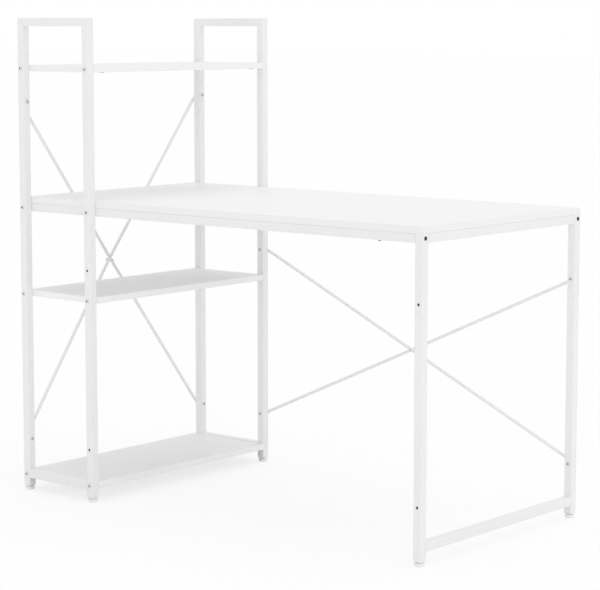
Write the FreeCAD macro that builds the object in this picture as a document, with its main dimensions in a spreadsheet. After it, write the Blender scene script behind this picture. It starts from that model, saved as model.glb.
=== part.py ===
import FreeCAD, Part
import math
import os

import Sketcher
from FreeCAD import Placement, Rotation, Vector

# A desk with a shelf tower at its left end, in millimetres.
# X runs along the desk, Y from front to back and Z up from the floor. While the pieces are made, X and Y
# are zero at the middle of the board. At the end they all move together to the middle of the overall box.

SIZES = {
    "desk_length": 1200,
    "desk_height": 720,
    "board_depth": 600,
    "board_thick": 15,
    "board_edge_round": 0.4,
    "tower_width": 240,
    "tower_height": 1150,
    "top_shelf_drop": 120,
    "middle_shelf_drop": 235,
    "low_level": 40,
    "tube_side": 20,
    "tube_wall": 1.2,
    "tube_corner": 1.6,
    "plug_clearance": 0.2,
    "plug_depth": 18,
    "cap_flange": 1.5,
    "cap_depth": 4,
    "bolt_diameter": 5,
    "bolt_clearance": 0.5,
    "spare_clearance": 0.75,
    "bolt_head": 9,
    "bolt_head_height": 2.8,
    "shelf_bolt_reach": 42,
    "frame_bolt_reach": 13,
    "nut_flats": 8,
    "nut_height": 4,
    "barrel_nut_diameter": 10,
    "barrel_nut_length": 13,
    "barrel_nut_inset": 35,
    "barrel_nut_proud": 1,
    "rivet_nut_diameter": 7,
    "rivet_nut_length": 11,
    "screw_diameter": 4,
    "screw_head": 8,
    "screw_head_height": 2.5,
    "screw_bite": 10,
    "screw_from_left": 200,
    "screw_from_right": 120,
    "brace_low_level": 127,
    "back_brace_drop": 163,
    "side_brace_drop": 200,
    "rod_diameter": 8,
    "rod_lift": 4.5,
    "rod_gap": 0.4,
    "side_rod_bow": 8,
    "tab_thick": 3,
    "tab_eye": 13,
    "tab_neck": 6,
    "tab_tail": 24,
    "tab_flat": 12,
    "tab_ramp": 14,
    "rod_start": 8,
    "cross_bolt_diameter": 4,
    "cross_bolt_head": 6.5,
    "cross_bolt_head_height": 2.2,
    "cross_nut_flats": 7,
    "cross_nut_height": 3.2,
    "bolt_end": 1.5,
    "foot_height": 10,
    "foot_pad": 22,
    "foot_pad_height": 7.5,
    "foot_pad_bevel": 1.5,
    "foot_collar": 13,
    "foot_stem": 8,
    "foot_stem_length": 16,
    "foot_stem_clearance": 0.3,
}

doc = FreeCAD.newDocument("desk_with_shelves")
sheet = doc.addObject("Spreadsheet::Sheet", "Sizes")
for row, (alias, number) in enumerate(SIZES.items(), start=1):
    sheet.set(f"A{row}", alias)
    sheet.set(f"B{row}", str(number))
    sheet.setAlias(f"B{row}", alias)
doc.recompute()

# Lengths that several pieces share, as expressions on the sheet
TOP_SHELF_LEVEL = "(Sizes.tower_height - Sizes.top_shelf_drop)"
MIDDLE_SHELF_LEVEL = "(Sizes.desk_height - Sizes.middle_shelf_drop)"
SIDE_BRACE_HIGH = "(Sizes.tower_height - Sizes.side_brace_drop)"
BACK_BRACE_HIGH = "(Sizes.desk_height - Sizes.back_brace_drop)"
BORE = "(Sizes.bolt_diameter + 2 * Sizes.bolt_clearance)"
SPARE_BORE = "(Sizes.bolt_diameter + 2 * Sizes.spare_clearance)"
TUBE_INSIDE = "(Sizes.tube_side - 2 * Sizes.tube_wall)"
PLUG_SIDE = f"({TUBE_INSIDE} - 2 * Sizes.plug_clearance)"
PLUG_CORNER = "(Sizes.tube_corner - Sizes.tube_wall)"
APRON_LEVEL = "(Sizes.desk_height - Sizes.board_thick - Sizes.tube_side / 2)"
APRON_LENGTH = "(Sizes.desk_length - Sizes.tube_side - Sizes.cap_flange)"
POST_LENGTH = "(Sizes.tower_height - Sizes.foot_height)"
LEG_LENGTH = "(Sizes.desk_height - Sizes.board_thick - Sizes.foot_height)"
RUNG_LENGTH = "(Sizes.tower_width - 2 * Sizes.tube_side)"
LEG_RAIL_LENGTH = "(Sizes.board_depth - 2 * Sizes.tube_side)"
BARREL_HOLE = "(Sizes.barrel_nut_diameter + 2 * Sizes.bolt_clearance)"
BARREL_DEPTH = "(Sizes.barrel_nut_length - Sizes.barrel_nut_proud)"
RIVET_HOLE = "(Sizes.rivet_nut_diameter + 2 * Sizes.plug_clearance)"
SCREW_HOLE = "(Sizes.screw_diameter + 2 * Sizes.plug_clearance)"
SCREW_LEFT = "(Sizes.screw_from_left - Sizes.cap_flange)"
SCREW_RIGHT = "(Sizes.desk_length - Sizes.screw_from_right - Sizes.cap_flange)"
SIDE_BRACE_RUN = "(Sizes.board_depth + Sizes.tube_side)"
SIDE_BRACE_RISE = f"({SIDE_BRACE_HIGH} - Sizes.brace_low_level)"
BACK_BRACE_RUN = "(Sizes.desk_length - Sizes.tower_width)"
BACK_BRACE_RISE = f"({BACK_BRACE_HIGH} - Sizes.brace_low_level)"
ROD_STEP = "(Sizes.rod_diameter + Sizes.rod_gap)"
SHELF_LEVELS = ["Sizes.low_level", MIDDLE_SHELF_LEVEL, TOP_SHELF_LEVEL]
LADDER_BOLT_LEVELS = SHELF_LEVELS + [APRON_LEVEL]
SIDE_BRACE_LEVELS = ["Sizes.brace_low_level", SIDE_BRACE_HIGH]
BACK_BRACE_LEVELS = ["Sizes.brace_low_level", BACK_BRACE_HIGH]


def value(expression):
    """The number that an expression on the sheet gives."""
    return float(sheet.evalExpression(expression))


HALF_LENGTH = value("Sizes.desk_length / 2")
HALF_BOARD = value("Sizes.board_depth / 2")
TUBE = value("Sizes.tube_side")
FOOT = value("Sizes.foot_height")
LEFT = -HALF_LENGTH + TUBE / 2
TOWER_RIGHT = -HALF_LENGTH + value("Sizes.tower_width") - TUBE / 2
RIGHT = HALF_LENGTH - TUBE / 2
LADDER_Y = {"front": -HALF_BOARD - TUBE / 2, "back": HALF_BOARD + TUBE / 2}
LEG_Y = {"front": -HALF_BOARD + TUBE / 2, "back": HALF_BOARD - TUBE / 2}
INWARD = {"front": Vector(0, 1, 0), "back": Vector(0, -1, 0)}

# Turns a piece made along its own Z so that it lies along a row axis
ALONG = {
    "x": Rotation(Vector(1, 1, 1), 120),
    "y": Rotation(Vector(1, 1, 1), 240),
    "z": Rotation(),
}

finished = []


def finish(piece, name):
    """Names a piece and puts it on the list that is written at the end."""
    piece.Label = name
    finished.append(piece)
    return piece


def pointing(direction):
    """The turn that takes a piece's own Z to a direction."""
    return Rotation(Vector(0, 0, 1), direction)


def new_body(name):
    return doc.addObject("PartDesign::Body", name)


def new_sketch(body, plane, name, lift=None):
    """A sketch on one of the body's origin planes, moved along the plane's normal by lift."""
    sketch = body.newObject("Sketcher::SketchObject", name)
    support = [feature for feature in body.Origin.OriginFeatures if feature.Role == plane][0]
    sketch.AttachmentSupport = [(support, "")]
    sketch.MapMode = "FlatFace"
    if lift:
        sketch.setExpression("AttachmentOffset.Base.z", lift)
    return sketch


def place_point(sketch, shape, end, across, up):
    """Holds one point of a sketch at a place given by two expressions."""
    for kind, expression in (("DistanceX", across), ("DistanceY", up)):
        index = sketch.addConstraint(Sketcher.Constraint(kind, -1, 1, shape, end, value(expression)))
        sketch.setExpression(f"Constraints[{index}]", expression)


def polygon(sketch, points):
    """A closed outline of straight lines through points given as pairs of expressions."""
    places = [Vector(value(across), value(up), 0) for across, up in points]
    first = sketch.GeometryCount
    for start, end in zip(places, places[1:] + places[:1]):
        sketch.addGeometry(Part.LineSegment(start, end))
    for step, (across, up) in enumerate(points):
        before = first + (step - 1) % len(points)
        sketch.addConstraint(Sketcher.Constraint("Coincident", before, 2, first + step, 1))
        place_point(sketch, first + step, 1, across, up)


def circle(sketch, across, up, diameter):
    centre = Vector(value(across), value(up), 0)
    shape = sketch.addGeometry(Part.Circle(centre, Vector(0, 0, 1), value(diameter) / 2))
    place_point(sketch, shape, 3, across, up)
    index = sketch.addConstraint(Sketcher.Constraint("Diameter", shape, value(diameter)))
    sketch.setExpression(f"Constraints[{index}]", diameter)


def rounded_square(sketch, side, radius):
    """A square round the origin with rounded corners."""
    half = f"({side}) / 2"
    reach = value(half)
    bend = value(radius)
    inner = reach - bend
    first = sketch.GeometryCount
    for turn in range(4):
        spin = Rotation(Vector(0, 0, 1), 90 * turn)
        start = spin.multVec(Vector(-inner, -reach, 0))
        end = spin.multVec(Vector(inner, -reach, 0))
        middle = spin.multVec(Vector(inner, -inner, 0))
        corner = Part.Circle(middle, Vector(0, 0, 1), bend)
        sketch.addGeometry(Part.LineSegment(start, end))
        first_angle = (turn - 1) * math.pi / 2
        sketch.addGeometry(Part.ArcOfCircle(corner, first_angle, first_angle + math.pi / 2))
    for turn in range(4):
        line = first + 2 * turn
        arc = line + 1
        following = first + (2 * turn + 2) % 8
        sketch.addConstraint(Sketcher.Constraint("Tangent", line, 2, arc, 1))
        sketch.addConstraint(Sketcher.Constraint("Tangent", arc, 2, following, 1))
        across = turn % 2 == 0
        sketch.addConstraint(Sketcher.Constraint("Horizontal" if across else "Vertical", line))
        sign = -1 if turn in (0, 3) else 1
        kind = "DistanceY" if across else "DistanceX"
        index = sketch.addConstraint(Sketcher.Constraint(kind, -1, 1, line, 1, sign * reach))
        sketch.setExpression(f"Constraints[{index}]", half if sign > 0 else f"-{half}")
        if turn:
            sketch.addConstraint(Sketcher.Constraint("Equal", first + 1, arc))
    index = sketch.addConstraint(Sketcher.Constraint("Radius", first + 1, bend))
    sketch.setExpression(f"Constraints[{index}]", radius)


def pad(body, sketch, length, reverse=False):
    feature = body.newObject("PartDesign::Pad", sketch.Name + "_pad")
    feature.Profile = sketch
    feature.setExpression("Length", length)
    feature.Reversed = reverse
    doc.recompute()
    return feature


def pocket(body, sketch, depth=None, reverse=False):
    """Cuts a sketch out of the body: to a depth, or both ways through everything."""
    before = body.Shape.Volume
    feature = body.newObject("PartDesign::Pocket", sketch.Name + "_pocket")
    feature.Profile = sketch
    if depth:
        feature.setExpression("Length", depth)
        feature.Reversed = reverse
    else:
        feature.Type = "ThroughAll"
        feature.SideType = "Symmetric"
    doc.recompute()
    if not body.Shape.Volume < before:
        raise ValueError(f"{sketch.Name} cuts nothing")
    return feature


def revolve(body, points):
    """A solid of revolution about the body's Z, from the points of its half outline in X and Z."""
    sketch = new_sketch(body, "XZ_Plane", body.Name + "_outline")
    polygon(sketch, points)
    feature = body.newObject("PartDesign::Revolution", body.Name + "_turned")
    feature.Profile = sketch
    feature.ReferenceAxis = (sketch, ["V_Axis"])
    feature.Angle = 360
    doc.recompute()
    return feature


def drill(body, plane, name, spots, diameter, depth=None, reverse=False, lift=None):
    """Round holes of one diameter at spots given as pairs of expressions."""
    sketch = new_sketch(body, plane, f"{body.Name}_{name}", lift)
    for across, up in spots:
        circle(sketch, across, up, diameter)
    return pocket(body, sketch, depth, reverse)


def group(name, master, places):
    """Copies of one fastener at several places, as one node of separate solids."""
    links = []
    for number, place in enumerate(places, start=1):
        link = doc.addObject("App::Link", f"{name}_{number}")
        link.LinkedObject = master
        link.Placement = place
        links.append(link)
    compound = doc.addObject("Part::Compound", name)
    compound.Links = links
    return finish(compound, name)


# Tubes

def tube(name, along, start, length):
    """A square tube that runs from start along a row axis."""
    body = new_body(name)
    profile = new_sketch(body, "XY_Plane", name + "_profile")
    rounded_square(profile, "Sizes.tube_side", "Sizes.tube_corner")
    rounded_square(profile, TUBE_INSIDE, PLUG_CORNER)
    pad(body, profile, length)
    body.Placement = Placement(start, ALONG[along])
    return finish(body, name)


def bore_post(body, way, name, levels, diameter=BORE):
    """Bolt holes through both walls of a standing tube, at heights above the floor."""
    plane = {"x": "YZ_Plane", "y": "XZ_Plane"}[way]
    spots = [("0", f"{level} - Sizes.foot_height") for level in levels]
    drill(body, plane, name, spots, diameter)


def mitre(body, plane, name, end, side, inward):
    """Cuts a tube's end at 45 degrees. side is +1 or -1 for the side that is cut shorter, and inward
    is +1 or -1 for the way from the end into the tube."""
    half = "Sizes.tube_side / 2"
    spare = "Sizes.tube_side"
    sketch = new_sketch(body, plane, f"{body.Name}_{name}")
    short_side = f"{side} * ({half} + {spare})"
    long_side = f"{-side} * ({half} + {spare})"
    beyond = f"{end} - {inward} * {spare}"
    polygon(sketch, [
        (long_side, beyond),
        (short_side, beyond),
        (short_side, f"{end} + {inward} * (Sizes.tube_side + {spare})"),
    ])
    pocket(body, sketch)


def tower_ladder(where):
    """Two posts, a mitred top rail and a low rung, at the front or the back of the tower."""
    y = LADDER_Y[where]
    back_brace_bore = BORE if where == "back" else SPARE_BORE
    for hand, x, brace_way, brace_levels, brace_bore in (
        ("left", LEFT, "x", SIDE_BRACE_LEVELS, BORE),
        ("right", TOWER_RIGHT, "y", BACK_BRACE_LEVELS, back_brace_bore),
    ):
        post = tube(f"tower_post_{where}_{hand}", "z", Vector(x, y, FOOT), POST_LENGTH)
        mitre(post, "XZ_Plane", "mitre", POST_LENGTH, 1 if hand == "left" else -1, -1)
        bore_post(post, "y", "shelf_bores", LADDER_BOLT_LEVELS)
        bore_post(post, brace_way, "brace_bores", brace_levels, brace_bore)
    top = value("Sizes.tower_height") - TUBE / 2
    rail = tube(f"tower_top_rail_{where}", "x", Vector(-HALF_LENGTH, y, top), "Sizes.tower_width")
    mitre(rail, "YZ_Plane", "left_mitre", "0", -1, 1)
    mitre(rail, "YZ_Plane", "right_mitre", "Sizes.tower_width", -1, -1)
    rung_start = Vector(LEFT + TUBE / 2, y, value("Sizes.low_level"))
    tube(f"tower_low_rung_{where}", "x", rung_start, RUNG_LENGTH)


def desk_frame():
    """The aprons under the board and the leg frame at the right end."""
    apron_z = value(APRON_LEVEL)
    apron_x = -HALF_LENGTH + value("Sizes.cap_flange")
    outer_wall = "Sizes.tube_side / 2"
    post_spots = [
        ("0", "Sizes.tube_side / 2 - Sizes.cap_flange"),
        ("0", "Sizes.tower_width - Sizes.tube_side / 2 - Sizes.cap_flange"),
    ]
    for where in ("front", "back"):
        apron = tube(f"apron_{where}", "x", Vector(apron_x, LEG_Y[where], apron_z), APRON_LENGTH)
        front = where == "front"
        drill(apron, "YZ_Plane", "rivet_bores", post_spots, RIVET_HOLE, "Sizes.tube_side / 2",
              reverse=front, lift=f"-{outer_wall}" if front else outer_wall)
        drill(apron, "XZ_Plane", "screw_bores", [("0", SCREW_LEFT), ("0", SCREW_RIGHT)], SCREW_HOLE)
        leg = tube(f"leg_post_{where}", "z", Vector(RIGHT, LEG_Y[where], FOOT), LEG_LENGTH)
        bore_post(leg, "y", "brace_bores", BACK_BRACE_LEVELS, SPARE_BORE if front else BORE)
        bore_post(leg, "x", "apron_bore", [APRON_LEVEL])
    rail_y = -HALF_BOARD + TUBE
    tube("leg_top_rail", "y", Vector(RIGHT, rail_y, apron_z), LEG_RAIL_LENGTH)
    tube("leg_low_rail", "y", Vector(RIGHT, rail_y, value("Sizes.low_level")), LEG_RAIL_LENGTH)


# Boards

def board(name, width, middle_x, underside):
    """A flat board with softened edges, its underside at a height."""
    body = new_body(name)
    outline = new_sketch(body, "XY_Plane", name + "_outline")
    half_width = f"{width} / 2"
    half_depth = "Sizes.board_depth / 2"
    polygon(outline, [
        (f"-{half_width}", f"-{half_depth}"),
        (half_width, f"-{half_depth}"),
        (half_width, half_depth),
        (f"-{half_width}", half_depth),
    ])
    slab = pad(body, outline, "Sizes.board_thick")
    edges = body.newObject("PartDesign::Fillet", name + "_edges")
    edges.Base = (slab, [f"Edge{number}" for number in range(1, len(slab.Shape.Edges) + 1)])
    edges.setExpression("Radius", "Sizes.board_edge_round")
    body.Placement = Placement(Vector(middle_x, 0, underside), Rotation())
    doc.recompute()
    return finish(body, name)


def shelf(name, level):
    """A shelf with a bolt bore in each end corner and a hole for its barrel nut in the underside."""
    middle_x = -HALF_LENGTH + value("Sizes.tower_width / 2")
    underside = value(f"{level} - Sizes.board_thick / 2")
    body = board(name, "Sizes.tower_width", middle_x, underside)
    side = "(Sizes.tower_width - Sizes.tube_side) / 2"
    inset = "(Sizes.board_depth / 2 - Sizes.barrel_nut_inset)"
    nut_spots = [(f"{hand}{side}", f"{end}{inset}") for hand in ("", "-") for end in ("", "-")]
    drill(body, "XY_Plane", "nut_holes", nut_spots, BARREL_HOLE, BARREL_DEPTH, reverse=True)
    bolt_spots = [(f"{hand}{side}", "Sizes.board_thick / 2") for hand in ("", "-")]
    reach = "(Sizes.shelf_bolt_reach + Sizes.bolt_end)"
    for end, lift, reverse in (("front", "", False), ("back", "-", True)):
        drill(body, "XZ_Plane", f"{end}_bores", bolt_spots, BORE, reach, reverse,
              f"{lift}Sizes.board_depth / 2")


def desk_board():
    """The desk top, with pilot holes for the screws that hold it to the aprons."""
    body = board("desk_board", "Sizes.desk_length", 0, value("Sizes.desk_height - Sizes.board_thick"))
    row = "(Sizes.board_depth - Sizes.tube_side) / 2"
    ends = ["(Sizes.screw_from_left - Sizes.desk_length / 2)",
            "(Sizes.desk_length / 2 - Sizes.screw_from_right)"]
    spots = [(end, f"{side}{row}") for end in ends for side in ("", "-")]
    depth = "(Sizes.screw_bite + Sizes.bolt_end)"
    drill(body, "XY_Plane", "screw_pilots", spots, SCREW_HOLE, depth, reverse=True)


# Brace rods

def brace_rod(name, half_length, crest, drop, place):
    """A round rod with a flattened eye at each end.

    Its own X runs from eye to eye and its own Z away from the posts. The first eye lies on Z zero, the
    second is lower by drop, and crest is the height of the rod's middle line half way.
    """
    body = new_body(name)
    first = f"-{half_length}"
    middle = new_sketch(body, "YZ_Plane", name + "_middle")
    circle(middle, "0", crest, "Sizes.rod_diameter")
    rod_run = f"({half_length} - Sizes.rod_start)"
    for end, way, fall in (("first", "-", f"({crest} - Sizes.rod_lift)"),
                           ("second", "", f"({crest} - Sizes.rod_lift + {drop})")):
        half_rod = pad(body, middle, f"sqrt({rod_run} ^ 2 + {fall} ^ 2)")
        half_rod.Label = f"{name}_{end}_half"
        half_rod.UseCustomVector = True
        half_rod.AlongSketchNormal = False
        half_rod.setExpression("Direction.x", f"{way}{rod_run}")
        half_rod.setExpression("Direction.y", "0")
        half_rod.setExpression("Direction.z", f"-{fall}")
        doc.recompute()
    eye_half = "Sizes.tab_eye / 2"
    neck_half = "Sizes.tab_neck / 2"
    over = "(Sizes.rod_lift + Sizes.rod_diameter)"
    for end, way, floor in (("first", "-", "0"), ("second", "", f"-({drop})")):
        centre = f"{way}{half_length}"
        tail = f"{way}({half_length} - Sizes.tab_tail)"
        eye = new_sketch(body, "XY_Plane", f"{name}_{end}_eye", floor)
        circle(eye, centre, "0", "Sizes.tab_eye")
        pad(body, eye, "Sizes.tab_thick")
        neck = new_sketch(body, "XY_Plane", f"{name}_{end}_neck", floor)
        polygon(neck, [(centre, eye_half), (tail, neck_half), (tail, f"-{neck_half}"),
                       (centre, f"-{eye_half}")])
        pad(body, neck, "Sizes.tab_thick")
        ramp = new_sketch(body, "XZ_Plane", f"{name}_{end}_ramp")
        top = f"{floor} + Sizes.tab_thick"
        outside = f"{way}({half_length} + Sizes.tab_eye)"
        flat_end = f"{way}({half_length} - Sizes.tab_flat)"
        ramp_end = f"{way}({half_length} - Sizes.tab_flat - Sizes.tab_ramp)"
        polygon(ramp, [(outside, top), (flat_end, top), (ramp_end, f"{top} + {over}"),
                       (outside, f"{top} + {over}")])
        pocket(body, ramp)
    drill(body, "XY_Plane", "eye_holes", [(first, "0"), (half_length, "0")], BORE)
    drill(body, "XY_Plane", "cross_hole", [("0", "0")], "(Sizes.cross_bolt_diameter + Sizes.rod_gap)")
    body.Placement = place
    return finish(body, name)


def brace_turn(direction, outward):
    """The turn that lays a rod's X along a direction and its Z outward."""
    return Rotation(direction, Vector(), outward, "ZXY")


def braces():
    """The crossed rods at the tower's left side and behind the desk, with their fasteners."""
    low = value("Sizes.brace_low_level")
    side_run = value(SIDE_BRACE_RUN)
    side_rise = value(SIDE_BRACE_RISE)
    side_half = f"sqrt({SIDE_BRACE_RUN} ^ 2 + {SIDE_BRACE_RISE} ^ 2) / 2"
    side_middle = Vector(-HALF_LENGTH, 0, low + side_rise / 2)
    side_out = Vector(-1, 0, 0)
    side_crest = "(Sizes.rod_lift + Sizes.side_rod_bow)"
    falling = Placement(side_middle, brace_turn(Vector(0, side_run, -side_rise), side_out))
    rising = Placement(side_middle, brace_turn(Vector(0, side_run, side_rise), side_out))
    brace_rod("side_brace_falling", side_half, side_crest, "0", falling)
    brace_rod("side_brace_rising", side_half, f"({side_crest} + {ROD_STEP})", "0", rising)

    back_run = value(BACK_BRACE_RUN)
    back_rise = value(BACK_BRACE_RISE)
    back_half = f"sqrt({BACK_BRACE_RUN} ^ 2 + {BACK_BRACE_RISE} ^ 2) / 2"
    back_middle = Vector(TOWER_RIGHT + back_run / 2, HALF_BOARD + TUBE, low + back_rise / 2)
    back_out = Vector(0, 1, 0)
    back_crest = "(Sizes.rod_lift - Sizes.tube_side / 2)"
    falling = Placement(back_middle, brace_turn(Vector(back_run, 0, -back_rise), back_out))
    rising = Placement(back_middle, brace_turn(Vector(back_run, 0, back_rise), back_out))
    brace_rod("back_brace_falling", back_half, back_crest, "Sizes.tube_side", falling)
    brace_rod("back_brace_rising", back_half, f"({back_crest} + {ROD_STEP})", "Sizes.tube_side", rising)

    bolt_places = []
    nut_places = []
    past_tab = TUBE + value("Sizes.tab_thick")
    for where in ("front", "back"):
        for level in SIDE_BRACE_LEVELS:
            head = Vector(LEFT + TUBE / 2, LADDER_Y[where], value(level))
            bolt_places.append(Placement(head, pointing(side_out)))
            nut_places.append(Placement(head + side_out * past_tab, pointing(side_out)))
    for x, y in ((TOWER_RIGHT, LADDER_Y["back"]), (RIGHT, LEG_Y["back"])):
        for level in BACK_BRACE_LEVELS:
            head = Vector(x, y - TUBE / 2, value(level))
            bolt_places.append(Placement(head, pointing(back_out)))
            nut_places.append(Placement(head + back_out * past_tab, pointing(back_out)))
    length = "(Sizes.tube_side + Sizes.tab_thick + Sizes.nut_height + Sizes.bolt_end)"
    group("brace_bolts", frame_bolt("brace_bolt_master", length), bolt_places)
    nut = hex_nut("brace_nut_master", "Sizes.nut_flats", "Sizes.nut_height", BORE)
    group("brace_nuts", nut, nut_places)

    seat = "(Sizes.rod_diameter / 2 + Sizes.rod_gap)"
    grip = f"(2 * {seat} + {ROD_STEP})"
    cross_bolt = turned_bolt("cross_bolt_master", f"({grip} + Sizes.cross_nut_height + Sizes.bolt_end)",
                             "Sizes.cross_bolt_diameter", "Sizes.cross_bolt_head",
                             "Sizes.cross_bolt_head_height")
    heads = [
        Placement(side_middle + side_out * value(f"{side_crest} - {seat}"), pointing(side_out)),
        Placement(back_middle + back_out * value(f"{back_crest} - {seat}"), pointing(back_out)),
    ]
    group("brace_cross_bolts", cross_bolt, heads)
    cross_nut = hex_nut("cross_nut_master", "Sizes.cross_nut_flats", "Sizes.cross_nut_height",
                        "(Sizes.cross_bolt_diameter + Sizes.rod_gap)")
    ends = [Placement(head.Base + turn * value(grip), head.Rotation)
            for head, turn in zip(heads, (side_out, back_out))]
    group("brace_cross_nuts", cross_nut, ends)


# Fasteners

def turned_bolt(name, length, diameter, head, head_height):
    """A bolt along Z with its head under Z zero."""
    body = new_body(name)
    revolve(body, [
        ("0", f"-{head_height}"),
        (f"{head} / 4", f"-{head_height}"),
        (f"{head} / 2", f"-{head_height} / 3"),
        (f"{head} / 2", "0"),
        (f"{diameter} / 2", "0"),
        (f"{diameter} / 2", length),
        ("0", length),
    ])
    return body


def frame_bolt(name, length):
    return turned_bolt(name, length, "Sizes.bolt_diameter", "Sizes.bolt_head", "Sizes.bolt_head_height")


def hex_nut(name, flats, height, hole):
    """A hexagonal nut that stands on Z zero."""
    body = new_body(name)
    outline = new_sketch(body, "XY_Plane", name + "_outline")
    corner = f"{flats} / sqrt(3)"
    polygon(outline, [
        (corner, "0"),
        (f"{corner} / 2", f"{flats} / 2"),
        (f"-{corner} / 2", f"{flats} / 2"),
        (f"-{corner}", "0"),
        (f"-{corner} / 2", f"-{flats} / 2"),
        (f"{corner} / 2", f"-{flats} / 2"),
    ])
    pad(body, outline, height)
    drill(body, "XY_Plane", "thread", [("0", "0")], hole)
    return body


def shelf_fasteners():
    """A bolt through each post into a barrel nut near each corner of each shelf."""
    barrel = new_body("barrel_nut_master")
    outline = new_sketch(barrel, "XY_Plane", "barrel_nut_outline")
    circle(outline, "0", "0", "Sizes.barrel_nut_diameter")
    pad(barrel, outline, "Sizes.barrel_nut_length")
    thread_level = "Sizes.board_thick / 2 + Sizes.barrel_nut_proud"
    drill(barrel, "XZ_Plane", "thread", [("0", thread_level)], BORE)
    bolt_places = []
    nut_places = []
    inset = value("Sizes.barrel_nut_inset")
    for level in SHELF_LEVELS:
        height = value(level)
        nut_foot = height - value(thread_level)
        for where in ("front", "back"):
            inward = INWARD[where]
            for x in (LEFT, TOWER_RIGHT):
                outer_face = Vector(x, LADDER_Y[where], height) - inward * (TUBE / 2)
                bolt_places.append(Placement(outer_face, pointing(inward)))
                nut_spot = outer_face + inward * (TUBE + inset)
                nut_places.append(Placement(Vector(nut_spot.x, nut_spot.y, nut_foot), Rotation()))
    bolt = frame_bolt("shelf_bolt_master", "(Sizes.tube_side + Sizes.shelf_bolt_reach)")
    group("shelf_bolts", bolt, bolt_places)
    group("shelf_barrel_nuts", barrel, nut_places)


def apron_fasteners():
    """The bolts that hold the aprons to the posts and legs, with what they screw into."""
    level = value(APRON_LEVEL)
    length = "(Sizes.tube_side + Sizes.frame_bolt_reach)"
    bolt_places = []
    rivet_places = []
    for where in ("front", "back"):
        inward = INWARD[where]
        for x in (LEFT, TOWER_RIGHT):
            outer_face = Vector(x, LADDER_Y[where], level) - inward * (TUBE / 2)
            bolt_places.append(Placement(outer_face, pointing(inward)))
            rivet_places.append(Placement(outer_face + inward * TUBE, pointing(inward)))
    group("apron_bolts", frame_bolt("apron_bolt_master", length), bolt_places)

    rivet = new_body("rivet_nut_master")
    outline = new_sketch(rivet, "XY_Plane", "rivet_nut_outline")
    circle(outline, "0", "0", "Sizes.rivet_nut_diameter")
    circle(outline, "0", "0", BORE)
    pad(rivet, outline, "Sizes.rivet_nut_length")
    group("apron_rivet_nuts", rivet, rivet_places)

    left = Vector(-1, 0, 0)
    leg_places = [Placement(Vector(HALF_LENGTH, y, level), pointing(left)) for y in LEG_Y.values()]
    group("leg_bolts", frame_bolt("leg_bolt_master", length), leg_places)

    plug = tube_plug("apron_plug_master", "Sizes.plug_depth")
    drill(plug, "XY_Plane", "thread", [("0", "0")], BORE)
    plug_x = HALF_LENGTH - TUBE - value("Sizes.plug_depth")
    plug_places = [Placement(Vector(plug_x, y, level), ALONG["x"]) for y in LEG_Y.values()]
    group("apron_end_plugs", plug, plug_places)

    cap = tube_plug("apron_cap_master", "Sizes.cap_depth")
    flange = new_sketch(cap, "XY_Plane", "apron_cap_flange")
    rounded_square(flange, "Sizes.tube_side", "Sizes.tube_corner")
    pad(cap, flange, "Sizes.cap_flange", reverse=True)
    cap_x = -HALF_LENGTH + value("Sizes.cap_flange")
    cap_places = [Placement(Vector(cap_x, y, level), ALONG["x"]) for y in LEG_Y.values()]
    group("apron_end_caps", cap, cap_places)


def tube_plug(name, depth):
    """A block that fills the end of a tube, standing on Z zero."""
    body = new_body(name)
    outline = new_sketch(body, "XY_Plane", name + "_outline")
    rounded_square(outline, PLUG_SIDE, PLUG_CORNER)
    pad(body, outline, depth)
    return body


def board_screws():
    """The screws that go up through the aprons into the desk board."""
    screw = turned_bolt("board_screw_master", "(Sizes.tube_side + Sizes.screw_bite)",
                        "Sizes.screw_diameter", "Sizes.screw_head", "Sizes.screw_head_height")
    underside = value(APRON_LEVEL) - TUBE / 2
    columns = [-HALF_LENGTH + value("Sizes.screw_from_left"), HALF_LENGTH - value("Sizes.screw_from_right")]
    places = [Placement(Vector(x, y, underside), Rotation()) for x in columns for y in LEG_Y.values()]
    group("board_screws", screw, places)


# Feet

def feet():
    """A threaded plug in the lower end of each post, and a levelling foot screwed into it."""
    spots = {f"tower_{where}_{hand}": (x, LADDER_Y[where])
             for where in ("front", "back") for hand, x in (("left", LEFT), ("right", TOWER_RIGHT))}
    spots.update({f"leg_{where}": (RIGHT, LEG_Y[where]) for where in ("front", "back")})
    insert = tube_plug("foot_insert_master", "Sizes.plug_depth")
    drill(insert, "XY_Plane", "thread", [("0", "0")],
          "(Sizes.foot_stem + 2 * Sizes.foot_stem_clearance)")
    group("foot_inserts", insert, [Placement(Vector(x, y, FOOT), Rotation()) for x, y in spots.values()])
    for name, (x, y) in spots.items():
        body = new_body(f"foot_{name}")
        revolve(body, [
            ("0", "0"),
            ("Sizes.foot_pad / 2 - Sizes.foot_pad_bevel", "0"),
            ("Sizes.foot_pad / 2", "Sizes.foot_pad_bevel"),
            ("Sizes.foot_pad / 2", "Sizes.foot_pad_height - Sizes.foot_pad_bevel"),
            ("Sizes.foot_pad / 2 - Sizes.foot_pad_bevel", "Sizes.foot_pad_height"),
            ("Sizes.foot_collar / 2", "Sizes.foot_pad_height"),
            ("Sizes.foot_collar / 2", "Sizes.foot_height"),
            ("Sizes.foot_stem / 2", "Sizes.foot_height"),
            ("Sizes.foot_stem / 2", "Sizes.foot_height + Sizes.foot_stem_length"),
            ("0", "Sizes.foot_height + Sizes.foot_stem_length"),
        ])
        body.Placement = Placement(Vector(x, y, 0), Rotation())
        finish(body, body.Name)


tower_ladder("front")
tower_ladder("back")
desk_frame()
for shelf_name, shelf_level in zip(("shelf_bottom", "shelf_middle", "shelf_top"), SHELF_LEVELS):
    shelf(shelf_name, shelf_level)
desk_board()
braces()
shelf_fasteners()
apron_fasteners()
board_screws()
feet()
doc.recompute()

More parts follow.
